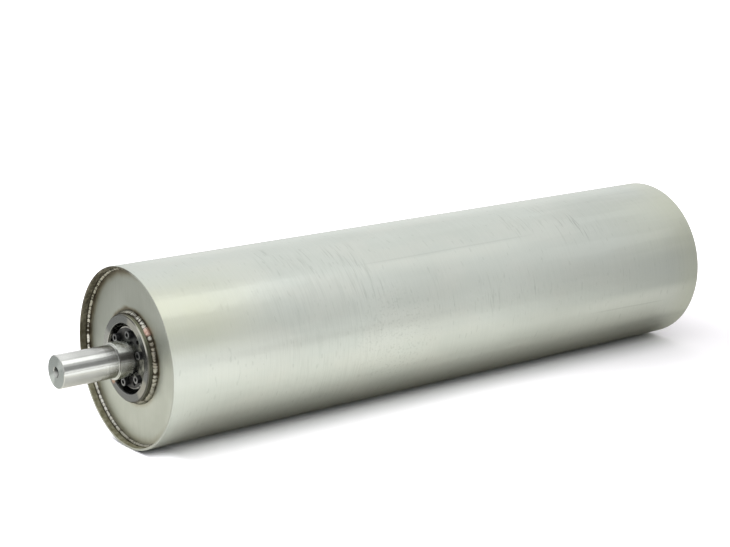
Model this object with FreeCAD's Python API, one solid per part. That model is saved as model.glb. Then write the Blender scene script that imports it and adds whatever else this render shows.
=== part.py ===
import FreeCAD, Part
import math
import os

from FreeCAD import Vector

# Magnetic head pulley: a welded stainless drum with magnets inside, clamped to a through shaft.
# Millimetres and degrees. The shaft lies along X, Z is up, and the origin is the drum's centre.

# Drum
drum_diameter = 220.0
drum_length = 870.0
shell_wall = 3.0
rim_break = 0.5
end_recess = 11.0           # from the rim to the face of the end disc
disc_thickness = 8.0
shell_weld_leg = 3.0
hub_weld_axial_leg = 5.0
hub_weld_radial_leg = 4.0
weld_crown = 0.12           # height of a bead's crown, as a share of its width

# Shaft
seat_diameter = 45.0        # where the locking bushes grip
seat_overhang = 18.0        # seat showing outside the rim
journal_diameter = 40.0     # where the bearings sit
journal_length = 72.0
journal_fillet = 0.6
seat_chamfer = 0.5
end_chamfer = 1.0
shoulder_share = 0.45       # most of the shoulder's height that its fillet, or its chamfer, may take
centre_cone_diameter = 13.2
centre_cone_angle = 60.0
centre_pilot_diameter = 6.3
centre_pilot_length = 6.0
drill_point_angle = 118.0

# Locking bush screws
screw_size = 6.0
screw_count = 6
screw_turn = 41.5           # of the first screw, from +Y towards +Z
head_diameter = 10.0
head_height = 6.0
head_break = 0.6
socket_width = 5.0
socket_depth = 3.0
socket_sides = 6
screw_end_room = 1.0        # from the screw's tip to the hub's shoulder
screw_hole_clearance = 0.3  # around the shank in the front flange
head_stand = 0.4            # from the hub's face out to the screw heads

# Locking bush cones
cone_wall = 4.0             # inner cone, at its thick end
cone_angle = 4.0
sleeve_wall = 3.0           # outer cone, at its thin end
sleeve_length = 24.0
thread_wall = 1.1           # from the cone to the tapped holes
flange_margin = 1.9         # from the screw heads to the flange's edge
front_flange_thickness = 9.0
flange_chamfer = 1.2
flange_gap = 2.0
rear_flange_thickness = 8.0
bush_break = 0.6
slit_width = 2.5

# Hub
hub_inset = 0.4             # from the rim to the hub's face
hub_wall = 10.5             # around the recess
hub_web = 8.0               # behind the recess
hub_chamfer = 1.5
hub_break = 0.6
spigot_wall = 6.5           # around the bush's sleeve
spigot_overhang = 11.0      # past the end of the bush
flange_room = 5.0           # around the bush flanges

# Magnets and yoke
block_length = 100.0
block_width = 40.0
block_height = 25.0
block_side_room = 1.0       # between blocks side by side on the yoke
block_end_room = 2.0        # least gap between blocks end to end in a row
magnet_clearance = 1.7      # from the blocks' corners to the shell
yoke_wall = 8.0
yoke_flange_thickness = 12.0
yoke_setback = 3.0          # from the end disc to the end of the yoke tube

# Radii that follow
shell_radius = drum_diameter / 2
shell_bore_radius = shell_radius - shell_wall
seat_radius = seat_diameter / 2
journal_radius = journal_diameter / 2
cone_radius = seat_radius + cone_wall
sleeve_radius = cone_radius + sleeve_wall
screw_radius = screw_size / 2
screw_circle_radius = cone_radius + thread_wall + screw_radius
flange_radius = screw_circle_radius + head_diameter / 2 + flange_margin
recess_radius = flange_radius + flange_room
hub_radius = recess_radius + hub_wall
spigot_radius = sleeve_radius + spigot_wall

# Places along the axis at the left end, from the rim inwards
disc_back = end_recess + disc_thickness
front_flange_face = hub_inset - head_stand + head_height
front_flange_back = front_flange_face + front_flange_thickness
rear_flange_face = front_flange_back + flange_gap
hub_shoulder = rear_flange_face + rear_flange_thickness
bush_end = hub_shoulder + sleeve_length
hub_step = hub_shoulder + hub_web
hub_back = bush_end + spigot_overhang
yoke_flange_back = hub_step + yoke_flange_thickness
yoke_end = disc_back + yoke_setback
screw_tip = hub_shoulder - screw_end_room

# Yoke and magnet pattern
yoke_length = drum_length - 2 * yoke_end
block_corner_radius = shell_bore_radius - magnet_clearance
yoke_apothem = math.sqrt(block_corner_radius ** 2 - (block_width / 2) ** 2) - block_height
yoke_bore_radius = yoke_apothem - yoke_wall
row_count = math.floor(math.pi / math.atan((block_width + block_side_room) / 2 / yoke_apothem))
blocks_per_row = math.floor(yoke_length / (block_length + block_end_room))
block_pitch = (yoke_length - block_length) / (blocks_per_row - 1)

origin = Vector(0, 0, 0)
axis = Vector(1, 0, 0)
up = Vector(0, 0, 1)
full_turn = 360.0
half_turn = full_turn / 2
screw_pitch = full_turn / screw_count
between_screws = screw_pitch / 2
jack_turn = screw_turn + screw_pitch + between_screws
front_slit_turn = screw_turn - screw_pitch - between_screws
rear_slit_turn = front_slit_turn + half_turn


def place(inward):
    # Position along X of a point this far inside the left rim
    return inward - drum_length / 2


def turned(outline):
    # Solid of revolution about the shaft's axis from (x, radius) points
    points = [Vector(x, radius, 0) for x, radius in outline]
    face = Part.Face(Part.makePolygon(points + points[:1]))
    return face.revolve(origin, axis, full_turn)


def turned_at_left(outline):
    # The same, with the points given as (distance inside the left rim, radius)
    return turned([(place(inward), radius) for inward, radius in outline])


def regular_face(x, apothem, sides):
    # Face across the axis with equal sides, one of them square to +Y
    half_angle = math.pi / sides
    corner_radius = apothem / math.cos(half_angle)
    corners = []
    for side in range(sides):
        angle = (2 * side + 1) * half_angle
        corners.append(Vector(x, corner_radius * math.cos(angle), corner_radius * math.sin(angle)))
    return Part.Face(Part.makePolygon(corners + corners[:1]))


def rod(inward, length, radius, turn):
    # Round bar along X on the screw circle
    base = Vector(place(inward), screw_circle_radius, 0)
    bar = Part.makeCylinder(radius, length, base, axis)
    bar.rotate(origin, axis, turn)
    return bar


def around(first_turn, pitch, count):
    return [first_turn + pitch * step for step in range(count)]


def slit(turn):
    # Slab from the axis outwards that opens a bush along its whole length
    corner = Vector(place(0), 0, -slit_width / 2)
    slab = Part.makeBox(bush_end, recess_radius, slit_width, corner)
    slab.rotate(origin, axis, turn)
    return slab


def cone_radius_at(inward):
    return cone_radius - (inward - front_flange_back) * math.tan(math.radians(cone_angle))


def drum_shell():
    end = drum_length / 2
    return turned([
        (-end, shell_bore_radius + rim_break),
        (-end, shell_radius - rim_break),
        (-end + rim_break, shell_radius),
        (end - rim_break, shell_radius),
        (end, shell_radius - rim_break),
        (end, shell_bore_radius + rim_break),
        (end - rim_break, shell_bore_radius),
        (-end + rim_break, shell_bore_radius),
    ])


def end_disc():
    return turned_at_left([
        (end_recess, hub_radius),
        (end_recess, shell_bore_radius),
        (disc_back, shell_bore_radius),
        (disc_back, hub_radius),
    ])


def weld_bead(corner_radius, axial_leg, radial_leg):
    # Fillet bead in the corner of the disc's face and a wall, crowned along its face
    corner = Vector(place(end_recess), corner_radius, 0)
    wall_toe = corner + Vector(-axial_leg, 0, 0)
    disc_toe = corner + Vector(0, radial_leg, 0)
    middle = (wall_toe + disc_toe) / 2
    outwards = (middle - corner).normalize()
    crest = middle + outwards * (disc_toe - wall_toe).Length * weld_crown
    edges = [
        Part.LineSegment(corner, wall_toe).toShape(),
        Part.Arc(wall_toe, crest, disc_toe).toShape(),
        Part.LineSegment(disc_toe, corner).toShape(),
    ]
    return Part.Face(Part.Wire(edges)).revolve(origin, axis, full_turn)


def shell_weld():
    return weld_bead(shell_bore_radius, shell_weld_leg, -shell_weld_leg)


def hub_weld():
    return weld_bead(hub_radius, hub_weld_axial_leg, hub_weld_radial_leg)


def hub():
    return turned_at_left([
        (hub_inset, recess_radius + hub_break),
        (hub_inset, hub_radius - hub_chamfer),
        (hub_inset + hub_chamfer, hub_radius),
        (hub_step - hub_break, hub_radius),
        (hub_step, hub_radius - hub_break),
        (hub_step, spigot_radius),
        (hub_back - hub_break, spigot_radius),
        (hub_back, spigot_radius - hub_break),
        (hub_back, sleeve_radius),
        (hub_shoulder, sleeve_radius),
        (hub_shoulder, recess_radius),
        (hub_inset + hub_break, recess_radius),
    ])


def bush_inner_cone():
    cone = turned_at_left([
        (front_flange_face, seat_radius + bush_break),
        (front_flange_face, flange_radius - flange_chamfer),
        (front_flange_face + flange_chamfer, flange_radius),
        (front_flange_back, flange_radius),
        (front_flange_back, cone_radius),
        (bush_end, cone_radius_at(bush_end)),
        (bush_end, seat_radius),
        (front_flange_face + bush_break, seat_radius),
    ])
    hole_radius = screw_radius + screw_hole_clearance
    screw_holes = [
        rod(front_flange_face, front_flange_thickness, hole_radius, turn)
        for turn in around(screw_turn, screw_pitch, screw_count)
    ]
    jack_threads = [
        rod(front_flange_face, front_flange_thickness, screw_radius, turn)
        for turn in around(jack_turn, 2 * screw_pitch, screw_count // 2)
    ]
    return cone.cut(screw_holes + jack_threads + [slit(front_slit_turn)])


def bush_outer_cone():
    cone = turned_at_left([
        (rear_flange_face, cone_radius_at(rear_flange_face)),
        (rear_flange_face, flange_radius),
        (hub_shoulder, flange_radius),
        (hub_shoulder, sleeve_radius),
        (bush_end, sleeve_radius),
        (bush_end, cone_radius_at(bush_end)),
    ])
    threads = [
        rod(rear_flange_face, rear_flange_thickness, screw_radius, turn)
        for turn in around(screw_turn, screw_pitch, screw_count)
    ]
    return cone.cut(threads + [slit(rear_slit_turn)])


def bush_screw(turn):
    # Socket-head cap screw, made on the shaft's axis and moved out to the screw circle
    head_face = front_flange_face - head_height
    head_radius = head_diameter / 2
    screw = turned_at_left([
        (head_face, 0),
        (head_face, head_radius - head_break),
        (head_face + head_break, head_radius),
        (front_flange_face, head_radius),
        (front_flange_face, screw_radius),
        (screw_tip - head_break, screw_radius),
        (screw_tip, screw_radius - head_break),
        (screw_tip, 0),
    ])
    socket = regular_face(place(head_face), socket_width / 2, socket_sides).extrude(axis * socket_depth)
    screw = screw.cut(socket)
    screw.translate(Vector(0, screw_circle_radius, 0))
    screw.rotate(origin, axis, turn)
    return screw


def bush_screws():
    return Part.makeCompound([bush_screw(turn) for turn in around(screw_turn, screw_pitch, screw_count)])


def shaft():
    seat_end = drum_length / 2 + seat_overhang
    end = seat_end + journal_length
    cone_mouth = centre_cone_diameter / 2
    pilot_radius = centre_pilot_diameter / 2
    cone_depth = (cone_mouth - pilot_radius) / math.tan(math.radians(centre_cone_angle / 2))
    pilot_depth = cone_depth + centre_pilot_length
    tip_depth = pilot_depth + pilot_radius / math.tan(math.radians(drill_point_angle / 2))
    shoulder_limit = (seat_radius - journal_radius) * shoulder_share
    seat_edge = min(seat_chamfer, shoulder_limit)
    right_half = [
        (seat_end - seat_edge, seat_radius),
        (seat_end, seat_radius - seat_edge),
        (seat_end, journal_radius),
        (end - end_chamfer, journal_radius),
        (end, journal_radius - end_chamfer),
        (end, cone_mouth),
        (end - cone_depth, pilot_radius),
        (end - pilot_depth, pilot_radius),
        (end - tip_depth, 0),
    ]
    left_half = [(-x, radius) for x, radius in reversed(right_half)]
    bar = turned(right_half + left_half)
    rings = [edge for edge in bar.Edges if isinstance(edge.Curve, Part.Circle)]
    roots = [
        ring for ring in rings
        if math.isclose(abs(ring.Curve.Center.x), seat_end)
        and math.isclose(ring.Curve.Radius, journal_radius)
    ]
    return bar.makeFillet(min(journal_fillet, shoulder_limit), roots)


def yoke_tube():
    bar = regular_face(-yoke_length / 2, yoke_apothem, row_count).extrude(axis * yoke_length)
    bore = Part.makeCylinder(yoke_bore_radius, yoke_length, Vector(-yoke_length / 2, 0, 0), axis)
    return bar.cut(bore)


def yoke_flange():
    return turned_at_left([
        (hub_step, spigot_radius),
        (hub_step, yoke_bore_radius),
        (yoke_flange_back, yoke_bore_radius),
        (yoke_flange_back, spigot_radius),
    ])


def magnet_row(row):
    blocks = [
        Part.makeBox(
            block_length, block_height, block_width,
            Vector(block_pitch * step - yoke_length / 2, yoke_apothem, -block_width / 2),
        )
        for step in range(blocks_per_row)
    ]
    blocks = Part.makeCompound(blocks)
    blocks.rotate(origin, axis, full_turn / row_count * row)
    return blocks


def save(node, shape):
    shape.exportStep(f"parts/{node}.step")


os.makedirs("parts", exist_ok=True)
save("drum_shell", drum_shell())
save("shaft", shaft())
save("yoke_tube", yoke_tube())
for row in range(row_count):
    save(f"magnet_row_{row + 1:02d}", magnet_row(row))

# Both ends take the same pieces, turned half round for the right end
end_pieces = [
    end_disc, shell_weld, hub, hub_weld, bush_inner_cone, bush_outer_cone, bush_screws, yoke_flange,
]
for make_piece in end_pieces:
    piece = make_piece()
    save(f"left_{make_piece.__name__}", piece)
    piece.rotate(origin, up, half_turn)
    save(f"right_{make_piece.__name__}", piece)
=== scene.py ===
import math

import bmesh
import bpy
from mathutils import Matrix, Vector, noise


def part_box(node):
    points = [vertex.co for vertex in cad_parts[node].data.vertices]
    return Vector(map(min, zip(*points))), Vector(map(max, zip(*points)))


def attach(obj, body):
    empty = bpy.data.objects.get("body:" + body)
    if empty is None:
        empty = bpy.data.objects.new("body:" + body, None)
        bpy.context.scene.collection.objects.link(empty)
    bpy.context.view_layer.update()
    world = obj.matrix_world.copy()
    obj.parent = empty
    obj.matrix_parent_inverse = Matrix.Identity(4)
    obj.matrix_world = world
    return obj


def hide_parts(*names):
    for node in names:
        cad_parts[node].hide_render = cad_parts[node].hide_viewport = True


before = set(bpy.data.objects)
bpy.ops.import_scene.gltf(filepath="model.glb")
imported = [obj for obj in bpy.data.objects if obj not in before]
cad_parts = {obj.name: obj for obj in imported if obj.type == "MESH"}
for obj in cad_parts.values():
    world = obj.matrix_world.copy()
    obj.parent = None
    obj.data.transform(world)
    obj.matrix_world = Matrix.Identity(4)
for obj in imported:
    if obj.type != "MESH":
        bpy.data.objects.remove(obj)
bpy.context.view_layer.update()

# Magnetic head pulley, in metres. The shaft lies along X and the drum's centre is the origin.
# Turns are angles about the shaft, from +Y towards +Z. The finishes have them in degrees.
shaftAxis = Vector((1, 0, 0))
centre = Vector((0, 0, 0))
ends = {"left": 0.0, "right": math.pi}      # turn about Z from the left end to each end
merging = 1e-7                              # points closer than this are one
touching = 1e-6                             # lengths closer than this are the same
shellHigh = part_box("drum_shell")[1]
drumRadius = shellHigh.y
drumEnd = shellHigh.x
discFace = -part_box("left_end_disc")[0].x    # distance of the disc's outer face from the centre
hubLow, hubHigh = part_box("left_hub")
hubRadius = hubHigh.y
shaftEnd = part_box("shaft")[1].x
headFace = -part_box("left_bush_screws")[0].x
flangeLow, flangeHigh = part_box("left_bush_inner_cone")
flangeFace = -flangeLow.x
flangeRadius = flangeHigh.y


class Wire:                                  # one socket of a node tree, with plain arithmetic
    def __init__(self, tree, socket=None):
        self.tree = tree
        self.socket = socket

    def node(self, kind, settings, inlets, outlet=0):
        made = self.tree.nodes.new(kind)
        for name, value in settings.items():
            setattr(made, name, value)
        for name, value in inlets.items():
            inlet = made.inputs[name]
            if isinstance(value, Wire):
                self.tree.links.new(value.socket, inlet)
            elif inlet.type == "RGBA":
                inlet.default_value = (*value, 1.0)
            else:
                inlet.default_value = value
        return Wire(self.tree, made.outputs[outlet] if made.outputs else None)

    def maths(self, operation, *terms):
        return self.node("ShaderNodeMath", {"operation": operation}, dict(enumerate(terms)))

    def __add__(self, other):
        return self.maths("ADD", self, other)

    def __sub__(self, other):
        return self.maths("SUBTRACT", self, other)

    def __rsub__(self, other):
        return self.maths("SUBTRACT", other, self)

    def __mul__(self, other):
        return self.maths("MULTIPLY", self, other)

    def __truediv__(self, other):
        return self.maths("DIVIDE", self, other)

    def __pow__(self, other):
        return self.maths("POWER", self, other)

    def __abs__(self):
        return self.maths("ABSOLUTE", self)

    __radd__ = __add__
    __rmul__ = __mul__

    def larger(self, other):
        return self.maths("MAXIMUM", self, other)

    def rise(self, low, high):               # 0 at low and 1 at high, smooth between, either way round
        inlets = {"Value": self, "From Min": low, "From Max": high}
        return self.node("ShaderNodeMapRange", {"interpolation_type": "SMOOTHSTEP"}, inlets)

    def blend(self, first, second):
        return self.node("ShaderNodeMix", {"data_type": "RGBA"}, {0: self, 6: first, 7: second}, 2)

    def grain(self, stretch, detail=2.0, roughness=0.5, shift=0.0):
        moved = {"Vector": self, "Location": (shift,) * 3, "Scale": stretch}
        mapped = self.node("ShaderNodeMapping", {}, moved)
        inlets = {"Vector": mapped, "Scale": 1.0, "Detail": detail, "Roughness": roughness}
        return self.node("ShaderNodeTexNoise", {}, inlets)

    def marks(self, spec):                   # patches of a grain, as strong as their share
        return self.grain(*spec["grain"]).rise(*spec["edge"]) * spec["share"]

    def axes(self):
        return [self.node("ShaderNodeSeparateXYZ", {}, {0: self}, axis) for axis in "XYZ"]

    def bump(self, strength, depth, under=None):
        inlets = {"Strength": strength, "Distance": depth, "Height": self}
        if under:
            inlets["Normal"] = under
        return self.node("ShaderNodeBump", {}, inlets)


def newFinish(name):
    made = bpy.data.materials.new(name)
    made.use_nodes = True
    made.node_tree.nodes.clear()
    place = Wire(made.node_tree).node("ShaderNodeTexCoord", {}, {}, "Object")
    return made, place


def coat(place, inlets, haze=None, share=0.0):      # one shader, or two in shares
    shader = place.node("ShaderNodeBsdfPrincipled", {}, inlets)
    if haze:
        wide = place.node("ShaderNodeBsdfPrincipled", {}, haze)
        shader = place.node("ShaderNodeMixShader", {}, {0: share, 1: shader, 2: wide})
    place.node("ShaderNodeOutputMaterial", {}, {"Surface": shader})


def fromAxis(place):                         # distance from the shaft's axis
    y, z = place.axes()[1:]
    return (y * y + z * z) ** 0.5


def away(place, spot):                       # distance from one spot
    return place.node("ShaderNodeVectorMath", {"operation": "DISTANCE"}, {0: place, 1: spot}, "Value")


def spotted(place, along, radius, turn, reach):     # round a spot on a circle about the shaft
    angle = math.radians(turn)
    return away(place, (along, radius * math.cos(angle), radius * math.sin(angle))).rise(*reach)


def beyond(place, turn):                     # distance past the half plane from the shaft at a turn
    y, z = place.axes()[1:]
    angle = math.radians(turn)
    return z * math.cos(angle) - y * math.sin(angle)


def fan(place, turn, full, none):            # 1 within full degrees of a turn about the shaft, 0 beyond none
    y, z = place.axes()[1:]
    angle = math.radians(turn)
    ahead = (y * math.cos(angle) + z * math.sin(angle)) / fromAxis(place)
    return ahead.rise(math.cos(math.radians(none)), math.cos(math.radians(full)))


def latheRings(place, perMetre):             # fine turning marks
    x = place.axes()[0]
    inlets = {0: x * perMetre, 1: fromAxis(place) * perMetre, 2: 0.0}
    return place.node("ShaderNodeCombineXYZ", {}, inlets).grain((1, 1, 1), 1.0)


# In the finishes a grain is stretch, detail, roughness and shift, a fan is turn, full and faded half widths,
# a bump is strength and depth, and other pairs give where something is 0 and where it is full.

# Ground stainless of the drum shell
shellLook = {
    "steel": (0.615, 0.645, 0.605),
    "dull": (0.560, 0.588, 0.548),
    "clouds": ((5, 9, 9), 3.0),
    "cloudEdge": (0.3, 0.7),
    "bands": ((0.9, 34, 34), 2.0),           # along the sheet
    "bandEdge": (0.35, 0.65),
    "bandShare": 0.35,
    "cream": (0.640, 0.650, 0.603),
    "creamClouds": {"grain": ((11, 22, 22), 2.0, 0.5, 8.1), "edge": (0.45, 0.62), "share": 0.30},
    "farShadeTone": (0.500, 0.525, 0.490),        # painted shade: darker reflections towards the far end
    "farFrom": (0.0, 0.4),
    "farLeast": 0.14,
    "farShadeFans": [(174, 8, 19, 0.55), (118, 10, 22, 0.25)],       # more painted shade there, and how much
    "shadeSmudges": {"grain": ((3.5, 46, 46), 2.0, 0.5, 5.5), "edge": (0.48, 0.62), "share": 0.30},
    "pale": (0.680, 0.705, 0.655),
    "highlightFans": [                            # painted highlight bands, their share and the stretch where they set in
        (175, 5, 17, 0.55, (-0.25, -0.38)),
        (135, 3, 10, 0.45, (-0.25, -0.38)),
        (200, 8, 16, 0.70, (0.10, 0.34)),
    ],
    "scratch": (0.300, 0.315, 0.290),        # tone of all the marks below
    "chatter": (-0.210, 165),                # centre of the rougher grinding, by place and turn
    "chatterReach": (0.150, 0.050),
    "streaks": {"grain": ((480, 30, 30), 1.0, 0.4, 2.2), "edge": (0.48, 0.66), "share": 0.10},
    "scuffs": [                              # scuffed spots, by place and turn
        (-0.250, 112), (-0.200, 120), (-0.155, 120), (-0.145, 142), (-0.030, 160),
        (0.045, 166), (0.115, 165), (0.130, 118), (0.190, 114), (0.215, 130), (0.245, 128),
    ],
    "scuffReach": (0.036, 0.016),
    "strokes": {"grain": ((420, 36, 36), 1.0, 0.4, 3.7), "edge": (0.58, 0.70), "share": 0.22},
    "pitted": (-0.115, 183),                 # centre of the fine pits
    "pitReach": (0.085, 0.030),
    "pits": {"grain": ((300, 340, 340), 1.0, 0.5, 5.2), "edge": (0.56, 0.68), "share": 0.20},
    "nicks": {"grain": ((330, 90, 90), 0.0, 0.5, 6.4), "edge": (0.74, 0.80), "share": 0.16},
    "seamTurn": 130,                         # lengthwise weld of the sheet, ground flush
    "seamReach": (0.17, 0.09),
    "seamUp": (0.0, 0.03),
    "seamStray": 0.004,
    "seamWidth": (0.0012, 0.0003),
    "seamShare": 0.14,
    "seamPale": (0.001, 0.005),              # paler beside it
    "seamPaleEnd": (0.026, 0.010),
    "seamPaleShare": 0.35,
    "markTurn": 196.5,                       # one long scratch low at the far end
    "markFrom": (0.213, 0.273),
    "markTo": (0.382, 0.342),
    "markSide": (-0.02, -0.05),
    "markSlope": 0.027,
    "markStray": 0.006,
    "markWidth": (0.0013, 0.0003),
    "markShare": 0.20,
    "straw": (0.598, 0.612, 0.495),          # heat tint towards the rims
    "tintReach": (0.190, 0.010),
    "tintFan": (138, 0, 36),
    "tintLeast": 0.25,
    "tintClouds": {"grain": ((9, 16, 16), 2.0, 0.5, 1.3), "edge": (0.20, 0.65), "share": 0.55},
    "tintLoss": 0.5,                         # less of it at the far end
    "tintLossFrom": (0.0, 0.3),
    "farRimReach": (0.060, 0.004),           # all round the far rim
    "farRimFrom": (0.3, 0.4),
    "farRimShare": 0.40,
    "rim": (0.510, 0.525, 0.480),            # end faces
    "rimDepth": (0.0004, 0.0001),
    "rimIn": (0.0, 0.0004),
    "brown": (0.105, 0.095, 0.068),          # scale on the inside, by the weld
    "brownPale": (0.270, 0.252, 0.195),
    "olive": (0.290, 0.273, 0.185),          # the same scale, paler low down
    "olivePale": (0.530, 0.510, 0.385),
    "scaleFrom": (0.0025, 0.0029),
    "scaleHeight": (-0.05, 0.05),
    "mottle": ((160, 160, 160), 3.0, 0.6),
    "mottleEdge": (0.35, 0.70),
    "scorchFrom": (0.0003, 0.0006),          # the rim's face too, up on the +Y side
    "scorchLean": 0.8,
    "scorchSide": (0.045, 0.085),
    "darkWallFan": (358, 6, 20),               # darker there
    "darkWallShare": 0.6,
    "fold": (0.050, 0.045, 0.030),           # where the weld meets the wall
    "foldFrom": (0.0062, 0.0074),
    "foldShare": 0.7,
    "hoops": ((900, 16, 16), 3.0, 0.65),     # grinding marks
    "hoopEdge": (0.30, 0.75),
    "hoopShare": 0.05,
    "fineHoops": ((2600, 40, 40), 1.0),
    "fineShare": 0.3,
    "dents": ((70, 90, 90), 2.0, 0.6, 9.3),
    "bandBump": (0.6, 0.0012),
    "dentBump": (0.5, 0.0006),
    "hoopBump": (0.22, 0.00006),
    "roughness": 0.16,
    "hoopRough": 0.10,
    "cloudRough": 0.05,
    "scaleRough": 0.15,
    "haze": 0.82,                            # share of the light that the grinding scatters widely
    "hazeStray": 0.12,
    "hazeRoughness": 0.68,
}


def groundStainless(look):
    made, place = newFinish("groundStainless")
    x, y, z = place.axes()
    fromMiddle = abs(x)
    inward = drumEnd - fromMiddle
    sunk = drumRadius - fromAxis(place)
    clouds = place.grain(*look["clouds"])
    bands = place.grain(*look["bands"])
    hoops = place.grain(*look["hoops"])
    colour = clouds.rise(*look["cloudEdge"]).blend(look["dull"], look["steel"])
    colour = (bands.rise(*look["bandEdge"]) * look["bandShare"]).blend(colour, look["steel"])
    colour = place.marks(look["creamClouds"]).blend(colour, look["cream"])
    # painted shade towards the far end, in smudges and in bands at given turns
    farShadeMask = place.marks(look["shadeSmudges"]) + look["farLeast"]
    for turn, full, none, more in look["farShadeFans"]:
        farShadeMask = farShadeMask + fan(place, turn, full, none) * more
    colour = (x.rise(*look["farFrom"]) * farShadeMask).blend(colour, look["farShadeTone"])
    # painted highlights in bands at given turns
    for turn, full, none, share, stretch in look["highlightFans"]:
        colour = (x.rise(*stretch) * fan(place, turn, full, none) * share).blend(colour, look["pale"])
    pastSeam = beyond(place, look["seamTurn"]) + (clouds - 0.5) * look["seamStray"]
    seamSpan = fromMiddle.rise(*look["seamReach"]) * z.rise(*look["seamUp"])
    seamPale = pastSeam.rise(*look["seamPale"]) * pastSeam.rise(*look["seamPaleEnd"]) * seamSpan
    colour = (seamPale * look["seamPaleShare"]).blend(colour, look["pale"])
    colour = (hoops.rise(*look["hoopEdge"]) * look["hoopShare"]).blend(colour, look["dull"])
    scuffed = 0.0
    for along, turn in look["scuffs"]:
        scuffed = scuffed + spotted(place, along, drumRadius, turn, look["scuffReach"])
    along, turn = look["chatter"]
    chatter = spotted(place, along, drumRadius, turn, look["chatterReach"])
    along, turn = look["pitted"]
    pitted = spotted(place, along, drumRadius, turn, look["pitReach"])
    seam = abs(pastSeam).rise(*look["seamWidth"]) * seamSpan
    pastMark = beyond(place, look["markTurn"]) - (x - look["markFrom"][1]) * look["markSlope"]
    pastMark = pastMark + (clouds - 0.5) * look["markStray"]
    markSpan = x.rise(*look["markFrom"]) * x.rise(*look["markTo"]) * y.rise(*look["markSide"])
    mark = abs(pastMark).rise(*look["markWidth"]) * markSpan
    for scratches in (
        place.marks(look["streaks"]) * chatter,
        place.marks(look["strokes"]) * scuffed,
        place.marks(look["pits"]) * pitted,
        place.marks(look["nicks"]),
        seam * look["seamShare"],
        mark * look["markShare"],
    ):
        colour = scratches.blend(colour, look["scratch"])
    tint = (place.marks(look["tintClouds"]) + look["tintLeast"]) * fan(place, *look["tintFan"])
    tint = tint * (1 - x.rise(*look["tintLossFrom"]) * look["tintLoss"])
    colour = (inward.rise(*look["tintReach"]) * tint).blend(colour, look["straw"])
    farRim = inward.rise(*look["farRimReach"]) * x.rise(*look["farRimFrom"])
    colour = (farRim * look["farRimShare"]).blend(colour, look["straw"])
    rim = inward.rise(*look["rimDepth"]) * sunk.rise(*look["rimIn"])
    colour = rim.blend(colour, look["rim"])
    scorched = sunk.rise(*look["scorchFrom"]) * (y + z * look["scorchLean"]).rise(*look["scorchSide"])
    scaled = sunk.rise(*look["scaleFrom"]).larger(scorched)
    mottle = place.grain(*look["mottle"]).rise(*look["mottleEdge"])
    upper = mottle.blend(look["brown"], look["brownPale"])
    lower = mottle.blend(look["olive"], look["olivePale"])
    scale = z.rise(*look["scaleHeight"]).blend(lower, upper)
    scale = (fan(place, *look["darkWallFan"]) * look["darkWallShare"]).blend(scale, look["brown"])
    scale = (inward.rise(*look["foldFrom"]) * look["foldShare"]).blend(scale, look["fold"])
    colour = scaled.blend(colour, scale)
    rough = look["roughness"] + hoops * look["hoopRough"] + clouds * look["cloudRough"]
    rough = rough + scaled * look["scaleRough"]
    waves = bands.bump(*look["bandBump"])
    waves = place.grain(*look["dents"]).bump(*look["dentBump"], waves)
    grooves = hoops * (1 - look["fineShare"]) + place.grain(*look["fineHoops"]) * look["fineShare"]
    grooves = grooves.bump(*look["hoopBump"], waves)
    ground = {"Base Color": colour, "Metallic": 1.0, "Roughness": rough, "Normal": grooves}
    haze = {**ground, "Roughness": look["hazeRoughness"]}
    coat(place, ground, haze, look["haze"] + (hoops - 0.5) * look["hazeStray"])
    return made


# Brushed stainless of the end discs
discLook = {
    "steel": (0.495, 0.519, 0.468),
    "dull": (0.419, 0.440, 0.390),
    "clouds": ((20, 20, 20), 3.0),
    "cloudEdge": (0.3, 0.7),
    "brushed": ((40, 700, 18), 2.0, 0.6),
    "brushEdge": (0.3, 0.7),
    "brushShare": 0.35,
    "straw": (0.33, 0.30, 0.20),             # tint by the welds
    "strawShare": 0.85,
    "smokeAndShade": (0.12, 0.10, 0.07),             # darker closer to them: heat scale, with painted shade in the corners by the welds
    "smokeAndShadePower": 2.2,
    "smokeAndShadeShare": 0.75,
    "ragged": ((60, 60, 60), 2.0),
    "raggedBy": 0.006,
    "hubHeat": (0.0630, 0.0574),             # radii
    "shellHeat": (0.0925, 0.1045),
    "coolFan": (262, 50, 74),                # less of it there
    "coolShare": 0.55,
    "roughness": 0.34,
    "brushRough": 0.12,
    "brushBump": (0.3, 0.00005),
}


def brushedDisc(look):
    made, place = newFinish("brushedDisc")
    brushed = place.grain(*look["brushed"])
    colour = place.grain(*look["clouds"]).rise(*look["cloudEdge"]).blend(look["dull"], look["steel"])
    colour = (brushed.rise(*look["brushEdge"]) * look["brushShare"]).blend(colour, look["dull"])
    radius = fromAxis(place) + (place.grain(*look["ragged"]) - 0.5) * look["raggedBy"]
    heatAndShade = radius.rise(*look["hubHeat"]).larger(radius.rise(*look["shellHeat"]))
    heatAndShade = heatAndShade * (1 - fan(place, *look["coolFan"]) * look["coolShare"])
    colour = (heatAndShade * look["strawShare"]).blend(colour, look["straw"])
    # heat scale, and painted shade in the corners by the welds
    colour = (heatAndShade ** look["smokeAndShadePower"] * look["smokeAndShadeShare"]).blend(colour, look["smokeAndShade"])
    rough = look["roughness"] + brushed * look["brushRough"]
    normal = brushed.bump(*look["brushBump"])
    coat(place, {"Base Color": colour, "Metallic": 1.0, "Roughness": rough, "Normal": normal})
    return made


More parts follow.
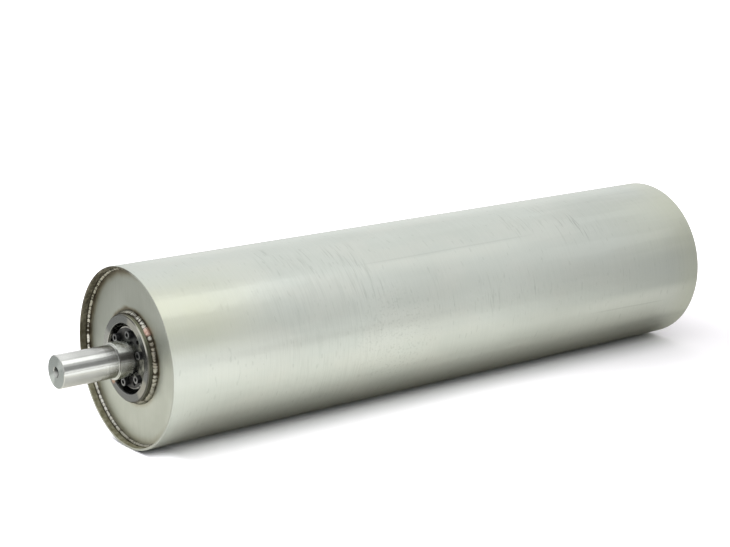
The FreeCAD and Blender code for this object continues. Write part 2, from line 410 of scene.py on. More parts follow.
# Weld metal: dark oxide with bare metal on the crests
beadLook = {
    "oxide": (0.050, 0.043, 0.030),
    "grey": (0.345, 0.340, 0.285),           # away from the painted highlights
    "bright": (0.66, 0.655, 0.60),
    "hubHighlight": (116, 14, 38),
    "shellHighlight": (335, 20, 52),
    "shellFrom": (0.07, 0.09),               # radii between the hub's bead and the shell's
    "stain": ((230, 230, 230), 3.0, 0.6),
    "blotches": ((95, 95, 95), 1.0, 0.5, 4.4),
    "lower": (-0.006, -0.018),               # painted highlight: more bare metal low down
    "crestShare": 0.75,                      # what makes a spot bare
    "stainShare": 0.40,
    "blotchShare": 0.90,
    "lowerShare": 0.12,
    "bareEdge": (0.93, 1.30),
    "straw": (0.40, 0.365, 0.26),
    "strawEdge": (0.48, 0.62),
    "strawShare": 0.35,
    "burnt": (0.25, 0.230, 0.195),
    "burntRadius": 0.0560,
    "burntTurn": 163,
    "burntReach": (0.022, 0.014),
    "burntShare": 0.75,
    "copper": (0.68, 0.45, 0.37),
    "copperRadius": 0.0560,
    "copperProud": 0.002,
    "copperTurn": 134,
    "copperReach": (0.0075, 0.0030),
    "copperShare": 0.8,
    "roughness": 0.26,
    "oxideRough": 0.22,
    "fine": ((900, 900, 900), 2.0),
    "fineRough": 0.08,
    "fineBump": (0.25, 0.0001),
}


def weldMetal(look):
    made, place = newFinish("weldMetal")
    crest = place.node("ShaderNodeAttribute", {"attribute_name": "crest"}, {}, "Fac")
    stain = place.grain(*look["stain"])
    fine = place.grain(*look["fine"])
    bare = crest * look["crestShare"] + stain * look["stainShare"]
    bare = bare + place.grain(*look["blotches"]) * look["blotchShare"]
    # painted highlight: more bare metal low down
    bare = (bare + place.axes()[2].rise(*look["lower"]) * look["lowerShare"]).rise(*look["bareEdge"])
    # painted highlights on a stretch of each bead, grey elsewhere
    outer = fromAxis(place).rise(*look["shellFrom"])
    highlighted = outer * fan(place, *look["shellHighlight"]) + (1 - outer) * fan(place, *look["hubHighlight"])
    colour = highlighted.blend(look["grey"], look["bright"])
    burnt = spotted(place, -discFace, look["burntRadius"], look["burntTurn"], look["burntReach"])
    colour = (burnt * look["burntShare"]).blend(colour, look["burnt"])
    colour = (stain.rise(*look["strawEdge"]) * look["strawShare"]).blend(colour, look["straw"])
    colour = bare.blend(look["oxide"], colour)
    proud = -discFace - look["copperProud"]
    copper = spotted(place, proud, look["copperRadius"], look["copperTurn"], look["copperReach"])
    colour = (copper * look["copperShare"]).blend(colour, look["copper"])
    rough = look["roughness"] + (1 - bare) * look["oxideRough"] + fine * look["fineRough"]
    normal = fine.bump(*look["fineBump"])
    coat(place, {"Base Color": colour, "Metallic": 1.0, "Roughness": rough, "Normal": normal})
    return made


# Turned steel of the hubs
hubLook = {
    # painted light: the upper half lighter, the lower in painted shade
    "upper": (0.190, 0.197, 0.189),
    "lower": (0.113, 0.118, 0.115),
    "upperFrom": (-0.01, 0.01),
    "fans": [                                # where the turned face catches the light: turn, half width, tone
        (-4, 37, (0.400, 0.402, 0.372)),
        (117, 17, (0.400, 0.395, 0.345)),
        (170, 24, (0.120, 0.122, 0.120)),
        (219, 15, (0.245, 0.240, 0.208)),
    ],
    "fanBlur": 5,
    "chamfer": 0.0015,                       # spans below are in chamfers from the outside
    "edge": (0.100, 0.098, 0.086),           # broken edge of the face, in painted shade, with a painted highlight about turn 140
    "edgeLit": (0.540, 0.535, 0.470),
    "edgeFan": (140, 8, 27),
    "edgeSpan": (1.1, 0.9),
    "side": (0.145, 0.141, 0.112),           # tinted by the weld, and in painted shade, with a painted highlight about turn 120
    "sideLit": (0.490, 0.480, 0.375),
    "sideFan": (120, 12, 34),
    "sideSpan": (0.4, 0.1),
    "clouds": ((45, 45, 45), 3.0),
    "sideClouds": 0.4,
    "sideLeast": 0.7,
    "rust": (0.42, 0.25, 0.16),
    "rustTurn": 312,
    "rustRadius": 0.0450,
    "rustReach": (0.0060, 0.0015),
    "rustShare": 0.7,
    "ringsPerMetre": 2500,
    "ringEdge": (0.3, 0.7),
    "ringShare": 0.2,
    "ringRough": 0.10,
    "ringBump": (1.0, 0.00006),
    "roughness": 0.20,
}


def turnedHub(look):
    made, place = newFinish("turnedHub")
    rings = latheRings(place, look["ringsPerMetre"])
    # painted light above and painted shade below
    colour = place.axes()[2].rise(*look["upperFrom"]).blend(look["lower"], look["upper"])
    for turn, width, tone in look["fans"]:
        colour = fan(place, turn, width - look["fanBlur"], width + look["fanBlur"]).blend(colour, tone)
    sunk = (hubRadius - fromAxis(place)) / look["chamfer"]
    # painted highlights on the face's edge and side, painted shade elsewhere
    edge = fan(place, *look["edgeFan"]).blend(look["edge"], look["edgeLit"])
    colour = sunk.rise(*look["edgeSpan"]).blend(colour, edge)
    clouds = place.grain(*look["clouds"]) * look["sideClouds"] + look["sideLeast"]
    side = (fan(place, *look["sideFan"]) * clouds).blend(look["side"], look["sideLit"])
    colour = sunk.rise(*look["sideSpan"]).blend(colour, side)
    colour = (rings.rise(*look["ringEdge"]) * look["ringShare"]).blend(colour, look["lower"])
    rust = spotted(place, hubLow.x, look["rustRadius"], look["rustTurn"], look["rustReach"])
    colour = (rust * look["rustShare"]).blend(colour, look["rust"])
    rough = look["roughness"] + rings * look["ringRough"]
    normal = rings.bump(*look["ringBump"])
    coat(place, {"Base Color": colour, "Metallic": 1.0, "Roughness": rough, "Normal": normal})
    return made


# Bright turned steel of the shaft. Depths are from its end faces.
shaftLook = {
    "steel": (0.535, 0.543, 0.522),
    "dull": (0.455, 0.463, 0.442),
    "smears": ((60, 30, 30), 3.0),
    "smearEdge": (0.35, 0.75),
    "pale": (0.645, 0.652, 0.630),           # painted highlight along the top of the journals
    "highlightFan": (104, 14, 30),
    "highlightShare": 0.9,
    "belt": (0.400, 0.408, 0.392),           # painted dark reflection halfway along the journals
    "beltIn": (0.006, 0.030),
    "beltOut": (0.058, 0.046),
    "beltShare": 0.6,
    "journal": (0.0714, 0.0708),             # depth of the shoulder
    "rootLit": (0.620, 0.630, 0.602),        # low down by the shoulder
    "rootFan": (230, 12, 26),
    "rootFrom": (0.036, 0.056),
    "glint": (0.595, 0.604, 0.582),
    "glintFan": (175, 2, 8),
    "shade": (0.300, 0.305, 0.292),          # at the root of the upper highlight
    "shadeFan": (138, 10, 26),
    "shadeFrom": (0.038, 0.066),
    "seat": (0.0202, 0.0205),                # between the radii of journal and seat
    "seatTone": (0.48, 0.500, 0.460),           # seats, with painted reflections and shade in the fans below
    "seatReflectionFans": [                             # with painted reflections and shade, and their tone
        (154, 26, 36, (0.280, 0.288, 0.270)),
        (158, 8, 18, (0.100, 0.098, 0.090)),
        (187, 4, 24, (0.190, 0.194, 0.178)),
        (107, 13, 25, (0.660, 0.690, 0.640)),
    ],
    "sawn": (0.275, 0.300, 0.288),           # end faces
    # painted reflections on the end faces
    "sawnReflectionFans": [(136, 6, 24, (0.385, 0.415, 0.398)), (314, 6, 28, (0.440, 0.475, 0.455))],
    "sawnDepth": (0.0003, 0.0001),
    "holeShade": (0.05, 0.055, 0.053),          # painted shade in the centre holes, none low on the +Y side
    "holeDepth": (0.0004, 0.0014),
    "holeRadius": (0.0070, 0.0064),
    "holeShadeWay": (-0.6, 0.8),
    "holeShadeFrom": (-0.0062, -0.0022),
    "ringsPerMetre": 4500,
    "ringEdge": (0.35, 0.7),
    "ringShare": 0.25,
    "ringBump": (1.0, 0.00004),
    "lean": 0.07,                            # of the tool's ridges, out along the shaft
    "leanStray": 0.12,
    "seatLean": 0.15,                        # more on the seats
    "seatStray": 0.15,
    "rootLean": 0.045,                       # and along the journals
    "rootLeanFrom": (0.020, 0.060),
    "leanDepth": (0.0003, 0.0012),
    "roughness": 0.12,
    "ringRough": 0.06,
    "smearRough": 0.05,
    "holeShadeRough": 0.25,
}


def turnedShaft(look):
    made, place = newFinish("turnedShaft")
    x, y, z = place.axes()
    radius = fromAxis(place)
    depth = shaftEnd - abs(x)
    rings = latheRings(place, look["ringsPerMetre"])
    smears = place.grain(*look["smears"])
    colour = smears.rise(*look["smearEdge"]).blend(look["dull"], look["steel"])
    # painted highlight along the top of the journals
    colour = (fan(place, *look["highlightFan"]) * look["highlightShare"]).blend(colour, look["pale"])
    colour = (rings.rise(*look["ringEdge"]) * look["ringShare"]).blend(colour, look["dull"])
    # painted dark reflection halfway along the journals
    belt = depth.rise(*look["beltIn"]) * depth.rise(*look["beltOut"]) * look["beltShare"]
    colour = belt.blend(colour, look["belt"])
    journal = depth.rise(*look["journal"])
    root = fan(place, *look["rootFan"]) * depth.rise(*look["rootFrom"]) * journal
    colour = root.blend(colour, look["rootLit"])
    colour = (fan(place, *look["glintFan"]) * journal).blend(colour, look["glint"])
    colour = (fan(place, *look["shadeFan"]) * depth.rise(*look["shadeFrom"])).blend(colour, look["shade"])
    # seats with painted reflections and shade in fans
    seatTone = look["seatTone"]
    for turn, full, none, tone in look["seatReflectionFans"]:
        seatTone = fan(place, turn, full, none).blend(seatTone, tone)
    seat = radius.rise(*look["seat"])
    colour = seat.blend(colour, seatTone)
    # end faces with painted reflections
    sawn = look["sawn"]
    for turn, full, none, tone in look["sawnReflectionFans"]:
        sawn = fan(place, turn, full, none).blend(sawn, tone)
    colour = depth.rise(*look["sawnDepth"]).blend(colour, sawn)
    # painted shade in the centre holes, none low on the +Y side
    holeShadeY, holeShadeZ = look["holeShadeWay"]
    holeShade = depth.rise(*look["holeDepth"]) * radius.rise(*look["holeRadius"])
    holeShade = holeShade * (z * holeShadeZ + y * holeShadeY).rise(*look["holeShadeFrom"])
    colour = holeShade.blend(colour, look["holeShade"])
    rough = look["roughness"] + rings * look["ringRough"] + smears * look["smearRough"]
    rough = rough + holeShade * look["holeShadeRough"]
    lean = (rings - 0.5) * (seat * look["seatStray"] + look["leanStray"]) + look["lean"]
    lean = lean + seat * (look["seatLean"] - look["rootLean"])
    lean = lean + depth.rise(*look["rootLeanFrom"]) * look["rootLean"]
    lean = lean * x.maths("SIGN", x) * depth.rise(*look["leanDepth"])
    leaning = place.node("ShaderNodeCombineXYZ", {}, {0: lean, 1: 0.0, 2: 0.0})
    inlets = {0: rings.bump(*look["ringBump"]), 1: leaning}
    ridged = place.node("ShaderNodeVectorMath", {"operation": "ADD"}, inlets)
    ridged = place.node("ShaderNodeVectorMath", {"operation": "NORMALIZE"}, {0: ridged})
    coat(place, {"Base Color": colour, "Metallic": 1.0, "Roughness": rough, "Normal": ridged})
    return made


# Blackened steel of the bushes and their screws
blacking = {
    "fine": ((1200, 1200, 1200), 2.0),
    "fineRough": 0.06,
    "fineBump": (0.15, 0.00005),
    "wearEdge": (0.45, 0.80),
    "wearRough": 0.12,
    "metallic": 0.35,
}
bushLook = {
    **blacking,
    "black": (0.012, 0.012, 0.012),
    "worn": (0.060, 0.058, 0.054),
    "wear": ((130, 130, 130), 3.0, 0.6),
    "shaftReflection": (0.380, 0.380, 0.315),          # painted reflection of the shaft on the -Y side, in patches
    "shaftReflectionFrom": (-0.016, -0.030),
    "shaftReflectionEdge": (0.30, 0.60),
    "bare": (0.880, 0.865, 0.790),           # edge of the front flange
    "bareEdge": (0.30, 0.55),
    "chamfer": 0.0012,                       # spans below are in chamfers from the outside and from the front
    "rimSpan": (1.2, 0.9),
    "frontSpan": (1.3, 1.0),
    "bareMetallic": -0.1,
    "bareRough": 0.25,
    "roughness": 0.30,
}
screwLook = {
    **blacking,
    "black": (0.026, 0.027, 0.028),
    "worn": (0.085, 0.087, 0.088),
    "wear": ((260, 260, 260), 3.0, 0.6),
    "bare": (0.220, 0.224, 0.222),           # rubbed bright on the heads' faces
    "bareEdge": (0.20, 0.60),
    "faceDepth": (0.0004, 0.0001),
    "bareMetallic": 0.6,
    "bareRough": 0.0,
    "roughness": 0.28,
}


def blackened(place, look, wear, colour, bare):
    fine = place.grain(*look["fine"])
    rough = look["roughness"] + wear * look["wearRough"] + fine * look["fineRough"] + bare * look["bareRough"]
    metallic = look["metallic"] + bare * look["bareMetallic"]
    normal = fine.bump(*look["fineBump"])
    coat(place, {"Base Color": colour, "Metallic": metallic, "Roughness": rough, "Normal": normal})


def blackBush(look):
    made, place = newFinish("blackBush")
    x, y = place.axes()[:2]
    wear = place.grain(*look["wear"])
    colour = wear.rise(*look["wearEdge"]).blend(look["black"], look["worn"])
    # painted reflection of the shaft on the -Y side, broken up by the wear
    colour = (y.rise(*look["shaftReflectionFrom"]) * wear.rise(*look["shaftReflectionEdge"])).blend(colour, look["shaftReflection"])
    rim = ((flangeRadius - fromAxis(place)) / look["chamfer"]).rise(*look["rimSpan"])
    front = ((flangeFace - abs(x)) / look["chamfer"]).rise(*look["frontSpan"])
    bare = rim * front * wear.rise(*look["bareEdge"])
    colour = bare.blend(colour, look["bare"])
    blackened(place, look, wear, colour, bare)
    return made


def blackScrew(look):
    made, place = newFinish("blackScrew")
    wear = place.grain(*look["wear"])
    face = (headFace - abs(place.axes()[0])).rise(*look["faceDepth"])
    colour = wear.rise(*look["wearEdge"]).blend(look["black"], look["worn"])
    colour = (face * wear.rise(*look["bareEdge"])).blend(colour, look["bare"])
    blackened(place, look, wear, colour, face)
    return made


# Hidden inside the drum
yokeLook = {
    "steel": (0.33, 0.32, 0.30),
    "rust": (0.17, 0.11, 0.07),
    "clouds": ((18, 40, 40), 4.0, 0.6),
    "rustEdge": (0.45, 0.75),
    "metallic": 0.9,
    "roughness": 0.45,
    "rustRough": 0.2,
}
ferriteLook = {
    "grey": (0.055, 0.056, 0.060),
    "dust": (0.110, 0.108, 0.105),
    "pores": ((420, 420, 420), 3.0, 0.6),
    "dustEdge": (0.4, 0.75),
    "roughness": 0.62,
    "poreRough": 0.15,
    "poreBump": (0.2, 0.0001),
}


def bareYoke(look):
    made, place = newFinish("bareYoke")
    clouds = place.grain(*look["clouds"])
    colour = clouds.rise(*look["rustEdge"]).blend(look["steel"], look["rust"])
    rough = look["roughness"] + clouds * look["rustRough"]
    coat(place, {"Base Color": colour, "Metallic": look["metallic"], "Roughness": rough})
    return made


def greyFerrite(look):
    made, place = newFinish("greyFerrite")
    pores = place.grain(*look["pores"])
    colour = pores.rise(*look["dustEdge"]).blend(look["grey"], look["dust"])
    rough = look["roughness"] + pores * look["poreRough"]
    coat(place, {"Base Color": colour, "Roughness": rough, "Normal": pores.bump(*look["poreBump"])})
    return made


finishes = {
    "shell": groundStainless(shellLook),
    "disc": brushedDisc(discLook),
    "bead": weldMetal(beadLook),
    "hub": turnedHub(hubLook),
    "shaft": turnedShaft(shaftLook),
    "bush": blackBush(bushLook),
    "screw": blackScrew(screwLook),
    "yoke": bareYoke(yokeLook),
    "ferrite": greyFerrite(ferriteLook),
}
print("finishes made:", len(finishes))

# Solids that keep their own shape take these finishes
kept = {
    "end_disc": "disc", "hub": "hub", "shaft": "shaft",
    "cone": "bush", "yoke": "yoke", "magnet": "ferrite",
}
for name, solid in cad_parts.items():
    for word, finish in kept.items():
        if word in name and "weld" not in name:
            solid.material_slots[0].material = finishes[finish]
print("solids finished:", len(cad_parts))


def keepPiece(name, bm, finish, node, crispAngle=25):
    for face in bm.faces:
        face.smooth = True
    for edge in bm.edges:
        edge.smooth = edge.calc_face_angle(0.0) < math.radians(crispAngle)
    mesh = bpy.data.meshes.new(name)
    bm.to_mesh(mesh)
    bm.free()
    mesh.materials.append(finishes[finish])
    made = bpy.data.objects.new(name, mesh)
    bpy.context.scene.collection.objects.link(made)
    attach(made, "root")
    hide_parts(node)
    return made


def spun(bm, points, steps, closed=True):
    verts = [bm.verts.new(point) for point in points]
    pairs = zip(verts, verts[1:] + verts[:1]) if closed else zip(verts, verts[1:])
    edges = [bm.edges.new(pair) for pair in pairs]
    bmesh.ops.spin(
        bm, geom=verts + edges, cent=centre, axis=shaftAxis, angle=math.tau, steps=steps, use_merge=True
    )
    bmesh.ops.remove_doubles(bm, verts=bm.verts, dist=merging)


def sharpEdges(bm, angle):
    return [edge for edge in bm.edges if edge.is_manifold and edge.calc_face_angle(0.0) > math.radians(angle)]


# Drum shell: a tube with softened rims
shell = {"wall": 0.003, "rimBreak": 0.0005, "rimSegments": 3, "sharp": 60, "steps": 288, "lengths": 12}


def drumShell(spec):
    bm = bmesh.new()
    outside = [drumEnd - 2 * drumEnd * step / spec["lengths"] for step in range(spec["lengths"] + 1)]
    points = [(x, drumRadius, 0) for x in outside]
    points += [(x, drumRadius - spec["wall"], 0) for x in reversed(outside)]
    spun(bm, points, spec["steps"])
    bmesh.ops.recalc_face_normals(bm, faces=bm.faces)
    bmesh.ops.bevel(
        bm, geom=sharpEdges(bm, spec["sharp"]), offset=spec["rimBreak"], offset_type="OFFSET",
        segments=spec["rimSegments"], profile=0.5, affect="EDGES", material=-1,
    )
    return keepPiece("drumShell", bm, "shell", "drum_shell")


drumShell(shell)
print("drum shell made")

# Weld beads: a crowned fillet round each corner, raised into ripples and lumps
beadForm = {
    "crown": 0.12,                           # sag, in chords
    "rootClear": 1e-4,                       # what is closer to the root stays plain
    "cuts": 8,
    "swellPower": 0.8,
    "noisePerMetre": 90,
    "rightSeed": 40.0,                       # the right end's beads differ from the left's
    "bend": 0.9,                             # ripples lag at the toes, in pitches
    "rippleStray": 0.5,
    "ripplePower": 0.7,
    "lumpBend": 0.27,
    "lumpPower": 0.6,
    "mean": 0.6,                             # of ripples and lumps, so that they rise and sink
    "lumpsBlend": 8,                         # how fast lumps set in, per radian
    "grit": 0.35,                            # in lump heights
    "gritScale": 2.3,
    "wanderScale": 0.7,
    "wanderSeed": 9,
    "crispAngle": 60,
}
hubBead = {
    **beadForm,
    "node": "hub_weld",
    "piece": "HubWeld",
    "wall": hubRadius,
    "axialLeg": 0.0050,
    "radialLeg": 0.0040,
    "sink": 0.00025,                         # toes set into the metal on both sides
    "across": 16,
    "steps": 120,
    "ripplePitch": 0.0023,
    "rippleHeight": 0.00014,
    "rippleShare": 0.25,                     # of the crests, the lumps being the rest
    "lumpPitch": 0.0058,
    "lumpStray": 1.2,
    "lumpHeight": 0.00090,
    "lumpsFrom": math.radians(104),
    "lumpsTo": math.radians(206),
    "calm": 0.25,                            # share of the lumps that is left elsewhere
    "wander": 0.0006,                        # how far the toes stray
}
shellBead = {
    **beadForm,
    "node": "shell_weld",
    "piece": "ShellWeld",
    "wall": drumRadius - shell["wall"],
    "axialLeg": 0.0030,
    "radialLeg": -0.0030,
    "sink": 0.00015,
    "across": 10,
    "steps": 160,
    "ripplePitch": 0.0030,
    "rippleHeight": 0.00030,
    "rippleShare": 0.45,
    "lumpPitch": 0.0066,
    "lumpStray": 0.7,
    "lumpHeight": 0.00025,
    "lumpsFrom": 0.0,
    "lumpsTo": math.tau,
    "calm": 1.0,
    "wander": 0.0003,
}


def within(value):                           # between 0 and 1
    return min(1.0, max(0.0, value))


def wave(run, pitch, shift, power):          # humps of one pitch along a run
    return abs(math.sin(math.pi * (run / pitch + shift))) ** power


def weldBead(side, spec):
    corner = Vector((-discFace, spec["wall"], 0))
    wallToe = corner + Vector((-spec["axialLeg"], 0, 0))
    discToe = corner + Vector((0, spec["radialLeg"], 0))
    chord = discToe - wallToe
    outwards = ((wallToe + discToe) / 2 - corner).normalized()
    sag = chord.length * spec["crown"]
    bm = bmesh.new()
    shares = [step / spec["across"] for step in range(spec["across"] + 1)]
    crown = [wallToe + chord * share + outwards * sag * 4 * share * (1 - share) for share in shares]
    crown[0] -= outwards * spec["sink"]
    crown[-1] -= outwards * spec["sink"]
    root = corner - outwards * spec["sink"]
    spun(bm, crown + [root], spec["steps"])
    hoops = [edge for edge in bm.edges if abs(edge.verts[0].co.x - edge.verts[1].co.x) < merging]
    bmesh.ops.subdivide_edges(bm, edges=hoops, cuts=spec["cuts"], use_grid_fill=True)
    bmesh.ops.recalc_face_normals(bm, faces=bm.faces)
    crest = bm.verts.layers.float.new("crest")
    seed = Vector((0.0 if side == "left" else spec["rightSeed"], 0, 0))
    for vert in bm.verts:
        turn = math.atan2(vert.co.z, vert.co.y) % math.tau
        flat = Vector((vert.co.x, math.hypot(vert.co.y, vert.co.z), 0))
        if (flat - root).length < spec["rootClear"]:
            continue
        share = (flat - wallToe).dot(chord) / chord.length_squared
        swell = max(0.0, math.sin(math.pi * within(share))) ** spec["swellPower"]
        spot = vert.co * spec["noisePerMetre"] + seed
        run = turn * spec["wall"]
        stray = noise.noise(spot)
        toes = (2 * share - 1) ** 2
        shift = spec["bend"] * toes + spec["rippleStray"] * stray
        ripple = wave(run, spec["ripplePitch"], shift, spec["ripplePower"])
        shift = spec["lumpBend"] * toes + spec["lumpStray"] * stray
        lump = wave(run, spec["lumpPitch"], shift, spec["lumpPower"])
        lumpy = within((turn - spec["lumpsFrom"]) * spec["lumpsBlend"])
        lumpy *= within((spec["lumpsTo"] - turn) * spec["lumpsBlend"])
        lumpy = spec["calm"] + (1 - spec["calm"]) * lumpy
        lift = spec["rippleHeight"] * (ripple - spec["mean"])
        lift += spec["lumpHeight"] * lumpy * (lump - spec["mean"])
        lift += spec["lumpHeight"] * spec["grit"] * noise.noise(spot * spec["gritScale"])
        strayed = noise.noise(spot * spec["wanderScale"] + Vector((spec["wanderSeed"], 0, 0)))
        flat += outwards * swell * lift + chord.normalized() * spec["wander"] * strayed
        vert.co = Vector((flat.x, flat.y * math.cos(turn), flat.y * math.sin(turn)))
        lump = lump * lumpy + spec["mean"] * (1 - lumpy)
        vert[crest] = swell ** 0.5 * (lump + spec["rippleShare"] * (ripple - lump))
    bmesh.ops.rotate(bm, verts=bm.verts, cent=centre, matrix=Matrix.Rotation(ends[side], 3, "Z"))
    node = f"{side}_{spec['node']}"
    return keepPiece(side + spec["piece"], bm, "bead", node, spec["crispAngle"])


for side in ends:
    weldBead(side, hubBead)
    weldBead(side, shellBead)
print("weld beads made")

# Cap screws of the locking bush: knurled heads with hexagon sockets
screw = {
    "count": 6,
    "firstTurn": math.radians(41.5),
    "circle": 0.0306,
    "headRadius": 0.0050,
    "headHeight": 0.0060,
    "headBreak": 0.0006,
    "breakArc": [(0.0, 1.0), (0.15, 0.55), (0.55, 0.15), (1.0, 0.0)],       # back and in, in head breaks
    "underBreak": 0.0003,
    "shankRadius": 0.0030,
    "length": 0.0240,
    "socketSides": 6,
    "socketApothem": 0.0025,
    "socketDepth": 0.0030,
    "knurls": 36,
    "knurlDepth": 0.00016,
    "stepsPerKnurl": 4,
    "twist": 0.9,                            # keys never stop at the same turn
    "crispAngle": 35,
}


def capScrew(spec):
    bm = bmesh.new()
    steps = spec["knurls"] * spec["stepsPerKnurl"]
    radius, face = spec["headRadius"], -headFace
    under = face + spec["headHeight"]
    flank = [
        (face + back * spec["headBreak"], radius - inwards * spec["headBreak"], 0)
        for back, inwards in spec["breakArc"]
    ]
    flank += [
        (under - spec["headBreak"], radius, 0),
        (under, radius - spec["underBreak"], 0),
        (under, spec["shankRadius"], 0),
        (face + spec["length"], spec["shankRadius"], 0),
    ]
    spun(bm, flank, steps, closed=False)
    for vert in bm.verts:                    # knurling on the straight side of the head
        reach = math.hypot(vert.co.y, vert.co.z)
        if reach > radius - touching:
            turn = math.atan2(vert.co.z, vert.co.y)
            dip = spec["knurlDepth"] * (0.5 + 0.5 * math.cos(spec["knurls"] * turn))
            vert.co.y *= (reach - dip) / reach
            vert.co.z *= (reach - dip) / reach
    rings = [edge for edge in bm.edges if edge.is_boundary]
    edgeRing = [edge for edge in rings if all(v.co.x < face + touching for v in edge.verts)]
    tipRing = [edge for edge in rings if edge not in edgeRing]
    socketRadius = spec["socketApothem"] / math.cos(math.pi / spec["socketSides"])
    hexagon = bmesh.ops.create_circle(bm, segments=spec["socketSides"], radius=socketRadius)["verts"]
    toFace = Matrix.Translation((face, 0, 0)) @ Matrix.Rotation(math.pi / 2, 4, "Y")
    bmesh.ops.transform(bm, matrix=toFace, verts=hexagon)
    sides = [edge for edge in bm.edges if all(v in hexagon for v in edge.verts)]
    bmesh.ops.subdivide_edges(bm, edges=sides, cuts=steps // spec["socketSides"] - 1)
    socketRing = [edge for edge in bm.edges if edge.is_wire]
    bmesh.ops.bridge_loops(bm, edges=edgeRing + socketRing)
    walls = bmesh.ops.extrude_edge_only(bm, edges=socketRing)
    deep = [item for item in walls["geom"] if isinstance(item, bmesh.types.BMVert)]
    bmesh.ops.translate(bm, verts=deep, vec=shaftAxis * spec["socketDepth"])
    floorRing = [edge for edge in bm.edges if edge.is_boundary and all(v in deep for v in edge.verts)]
    bmesh.ops.holes_fill(bm, edges=floorRing + tipRing, sides=0)
    bmesh.ops.recalc_face_normals(bm, faces=bm.faces)
    return bm


def bushScrews(side, spec):
    single = capScrew(spec)
    template = bpy.data.meshes.new("oneScrew")
    single.to_mesh(template)
    single.free()
    bm = bmesh.new()
    for number in range(spec["count"]):
        before = len(bm.verts)
        bm.from_mesh(template)
        bm.verts.ensure_lookup_table()
        turn = spec["firstTurn"] + math.tau * number / spec["count"]
        twist = Matrix.Rotation(spec["twist"] * number + ends[side], 4, "X")
        toCircle = Matrix.Rotation(turn, 4, "X") @ Matrix.Translation((0, spec["circle"], 0))
        bmesh.ops.transform(bm, matrix=toCircle @ twist, verts=bm.verts[before:])
    bmesh.ops.rotate(bm, verts=bm.verts, cent=centre, matrix=Matrix.Rotation(ends[side], 3, "Z"))
    bpy.data.meshes.remove(template)
    node = side + "_bush_screws"
    return keepPiece(side + "BushScrews", bm, "screw", node, spec["crispAngle"])


for side in ends:
    bushScrews(side, screw)
print("bush screws made")

# Floor, light and camera
stage = {
    "floorSize": 60.0,
    "floorPlain": (0.80, 0.80, 0.80),
    "floorSeen": (1.55, 1.52, 1.56),         # white to the camera
    "floorNear": (2.70, 2.65, 2.80),         # painted light, whiter by the near end
    "nearFrom": (-0.395, -0.425),
    "nearOff": (0.004, 0.022),               # not close to the drum, except outside its end
    "nearBeyond": (-0.430, -0.438),
    "floorFar": (1.02, 1.00, 1.03),          # painted shadow, dimmer by the far end
    "farFrom": (0.0, 0.40),
    "farTo": (0.80, 0.50),
    "farReach": (0.42, 0.12),
    "floorShade": (0.48, 0.475, 0.455),      # in the metal, away from the lit patch
    "floorLit": (1.425, 1.43, 1.41),
    "floorWarm": (1.45, 1.42, 1.33),         # the same by the drum
    "warmReach": (0.40, 0.18),
    "litPatch": (-0.44, -0.42, -drumRadius),
    "litStretch": 0.4,                       # the patch is longer towards the front
    "litReach": (1.22, 0.42),                # where the patch fades out, and where it is full
    "nearShade": (1.12, 1.11, 1.08),         # by the near end
    "nearSpot": (-0.52, -0.14, -drumRadius),
    "nearReach": (0.15, 0.06),
    "contactShadow": (0.090, 0.076, 0.046),    # painted shadow under the drum, where it meets the floor, in the metal
    "contactShadowSeen": (0.100, 0.096, 0.100),
    "contactReach": (0.062, 0.0),
    "contactNear": (0.066, 0.012),           # firmer by the near end
    "contactNearFrom": (-0.36, -0.41),
    "contactMirrored": (0.18, 0.07),         # wider in the metal
    "contactFrom": (-0.438, -0.430),
    "contactTo": (0.465, 0.405),
    "contactTaper": (-0.46, -0.36),          # narrower there at the near end
    "contactLeast": 0.45,
    "direct": (0.6, 0.4),                    # light that has bounced off the floor sees it plain
}


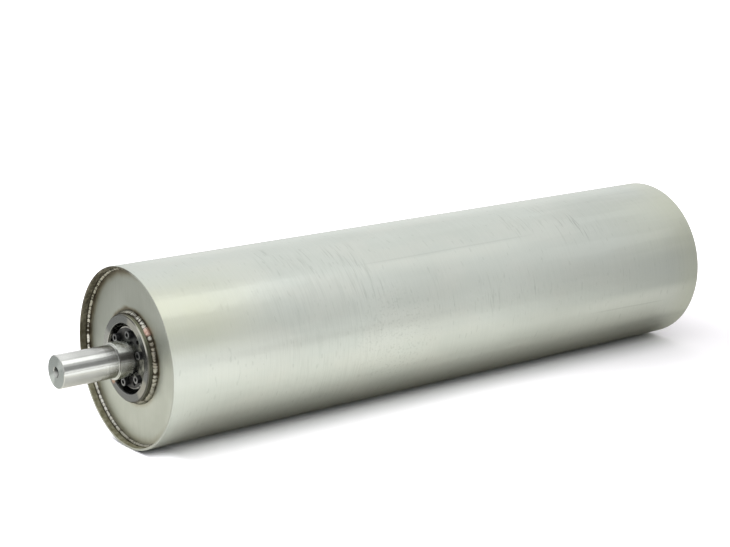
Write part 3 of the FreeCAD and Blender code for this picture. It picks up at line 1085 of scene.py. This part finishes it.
def paleFloor(spec):
    bm = bmesh.new()
    bmesh.ops.create_grid(bm, x_segments=1, y_segments=1, size=spec["floorSize"] / 2)
    bmesh.ops.translate(bm, verts=bm.verts, vec=(0, 0, -drumRadius))
    mesh = bpy.data.meshes.new("paleFloor")
    bm.to_mesh(mesh)
    bm.free()
    made, place = newFinish("paleFloor")
    camera, glossy, through, bounces = [
        place.node("ShaderNodeLightPath", {}, {}, ray)
        for ray in ("Is Camera Ray", "Is Glossy Ray", "Is Transmission Ray", "Diffuse Depth")
    ]
    mirrored = glossy.larger(through) * bounces.rise(*spec["direct"])
    x, y, z = place.axes()
    off = abs(y)
    ahead = y - spec["litPatch"][1]
    ahead = ahead.maths("MINIMUM", ahead, 0.0) * spec["litStretch"]
    nearer = place.node("ShaderNodeCombineXYZ", {}, {0: x, 1: y - ahead, 2: z})
    lit = off.rise(*spec["warmReach"]).blend(spec["floorLit"], spec["floorWarm"])
    patch = away(nearer, spec["litPatch"]).rise(*spec["litReach"]).blend(spec["floorShade"], lit)
    patch = away(place, spec["nearSpot"]).rise(*spec["nearReach"]).blend(patch, spec["nearShade"])
    colour = mirrored.blend(spec["floorPlain"], patch)
    # painted contact shadow under the drum, as the metal sees it
    along = x.rise(*spec["contactFrom"]) * x.rise(*spec["contactTo"])
    beside = off / (x.rise(*spec["contactTaper"]) * (1 - spec["contactLeast"]) + spec["contactLeast"])
    colour = (beside.rise(*spec["contactMirrored"]) * mirrored * along).blend(colour, spec["contactShadow"])
    # painted shadow by the far end
    dim = x.rise(*spec["farFrom"]) * x.rise(*spec["farTo"]) * off.rise(*spec["farReach"])
    seen = dim.blend(spec["floorSeen"], spec["floorFar"])
    # painted light by the near end, where the drum's shadow would fall
    clear = off.rise(*spec["nearOff"]).larger(x.rise(*spec["nearBeyond"]))
    seen = (x.rise(*spec["nearFrom"]) * clear).blend(seen, spec["floorNear"])
    # painted contact shadow under the drum, as the camera sees it
    firm = off.rise(*spec["contactNear"]) * x.rise(*spec["contactNearFrom"])
    touch = off.rise(*spec["contactReach"]).larger(firm)
    seen = (touch * along).blend(seen, spec["contactShadowSeen"])
    shader = place.node("ShaderNodeBsdfDiffuse", {}, {"Color": camera.blend(colour, seen)})
    place.node("ShaderNodeOutputMaterial", {}, {"Surface": shader})
    mesh.materials.append(made)
    floor = bpy.data.objects.new("paleFloor", mesh)
    bpy.context.scene.collection.objects.link(floor)


paleFloor(stage)

studio = {
    "level": 1.02,
    "panels": [                  # walls of the room: turn from +X to +Y, width, foot, top, tone
        (math.radians(-82), (0.50, 0.32), (0.12, 0.22), (0.66, 0.54), 0.50),
        (math.radians(-74), (0.36, 0.22), (-0.30, -0.20), (0.20, 0.08), 1.72),
        (math.radians(118), (0.90, 0.55), (-0.30, -0.20), (0.42, 0.22), 0.66),
        (math.radians(54), (0.45, 0.20), (0.50, 0.68), (1.20, 1.10), 1.22),
        (math.radians(54), (0.28, 0.12), (-0.10, 0.00), (0.45, 0.28), 1.42),
    ],
    "panelFront": (0.1, 0.2),
    "cornerWay": (0.948, -0.318, -0.010),    # the dim corner beyond the far end
    "cornerSize": (0.84, 0.90),
    "cornerTone": 0.30,
}


def studioWorld(spec):
    world = bpy.data.worlds.new("studio")
    bpy.context.scene.world = world
    world.use_nodes = True
    world.node_tree.nodes.clear()
    way = Wire(world.node_tree).node("ShaderNodeTexCoord", {}, {}, "Generated")
    x, y, z = way.axes()
    level = spec["level"]
    for turn, width, foot, top, tone in spec["panels"]:
        ahead = x * math.cos(turn) + y * math.sin(turn)
        aside = y * math.cos(turn) - x * math.sin(turn)
        panel = abs(aside).rise(*width) * ahead.rise(*spec["panelFront"]) * z.rise(*foot) * z.rise(*top)
        level = level - panel * (level - tone)
    inlets = {0: way, 1: spec["cornerWay"]}
    corner = way.node("ShaderNodeVectorMath", {"operation": "DOT_PRODUCT"}, inlets, "Value")
    level = level - corner.rise(*spec["cornerSize"]) * (level - spec["cornerTone"])
    camera = way.node("ShaderNodeLightPath", {}, {}, "Is Camera Ray")
    strength = camera + (1 - camera) * level
    back = way.node("ShaderNodeBackground", {}, {"Color": (1, 1, 1), "Strength": strength})
    way.node("ShaderNodeOutputWorld", {}, {"Surface": back})


studioWorld(studio)

softbox = {"place": (0.15, -0.63, 1.50), "size": (1.22, 0.80), "brightness": 1.45}


def overheadSoftbox(spec):
    lamp = bpy.data.lights.new("softbox", "AREA")
    lamp.shape = "RECTANGLE"
    lamp.size, lamp.size_y = spec["size"]
    lamp.energy = spec["brightness"] * math.pi * lamp.size * lamp.size_y
    made = bpy.data.objects.new("softbox", lamp)
    made.location = spec["place"]
    made.visible_camera = False
    bpy.context.scene.collection.objects.link(made)


overheadSoftbox(softbox)

view = {
    "place": (-1.3942, -1.7040, 0.5668),
    "yaw": math.radians(52.342),             # from +X towards +Y
    "pitch": math.radians(-13.484),
    "focal": 1716.98,                        # in pixels of an image 730 wide
    "imageWidth": 730,
    "sensor": 36.0,
}


def photoCamera(spec):
    data = bpy.data.cameras.new("photoCamera")
    data.sensor_width = spec["sensor"]
    data.lens = spec["focal"] / spec["imageWidth"] * spec["sensor"]
    made = bpy.data.objects.new("photoCamera", data)
    made.location = spec["place"]
    flat = math.cos(spec["pitch"])
    ahead = Vector((flat * math.cos(spec["yaw"]), flat * math.sin(spec["yaw"]), math.sin(spec["pitch"])))
    made.rotation_euler = ahead.to_track_quat("-Z", "Y").to_euler()
    bpy.context.scene.collection.objects.link(made)
    bpy.context.scene.camera = made


photoCamera(view)
bpy.context.scene.view_settings.view_transform = "Standard"
print("floor, light and camera set")
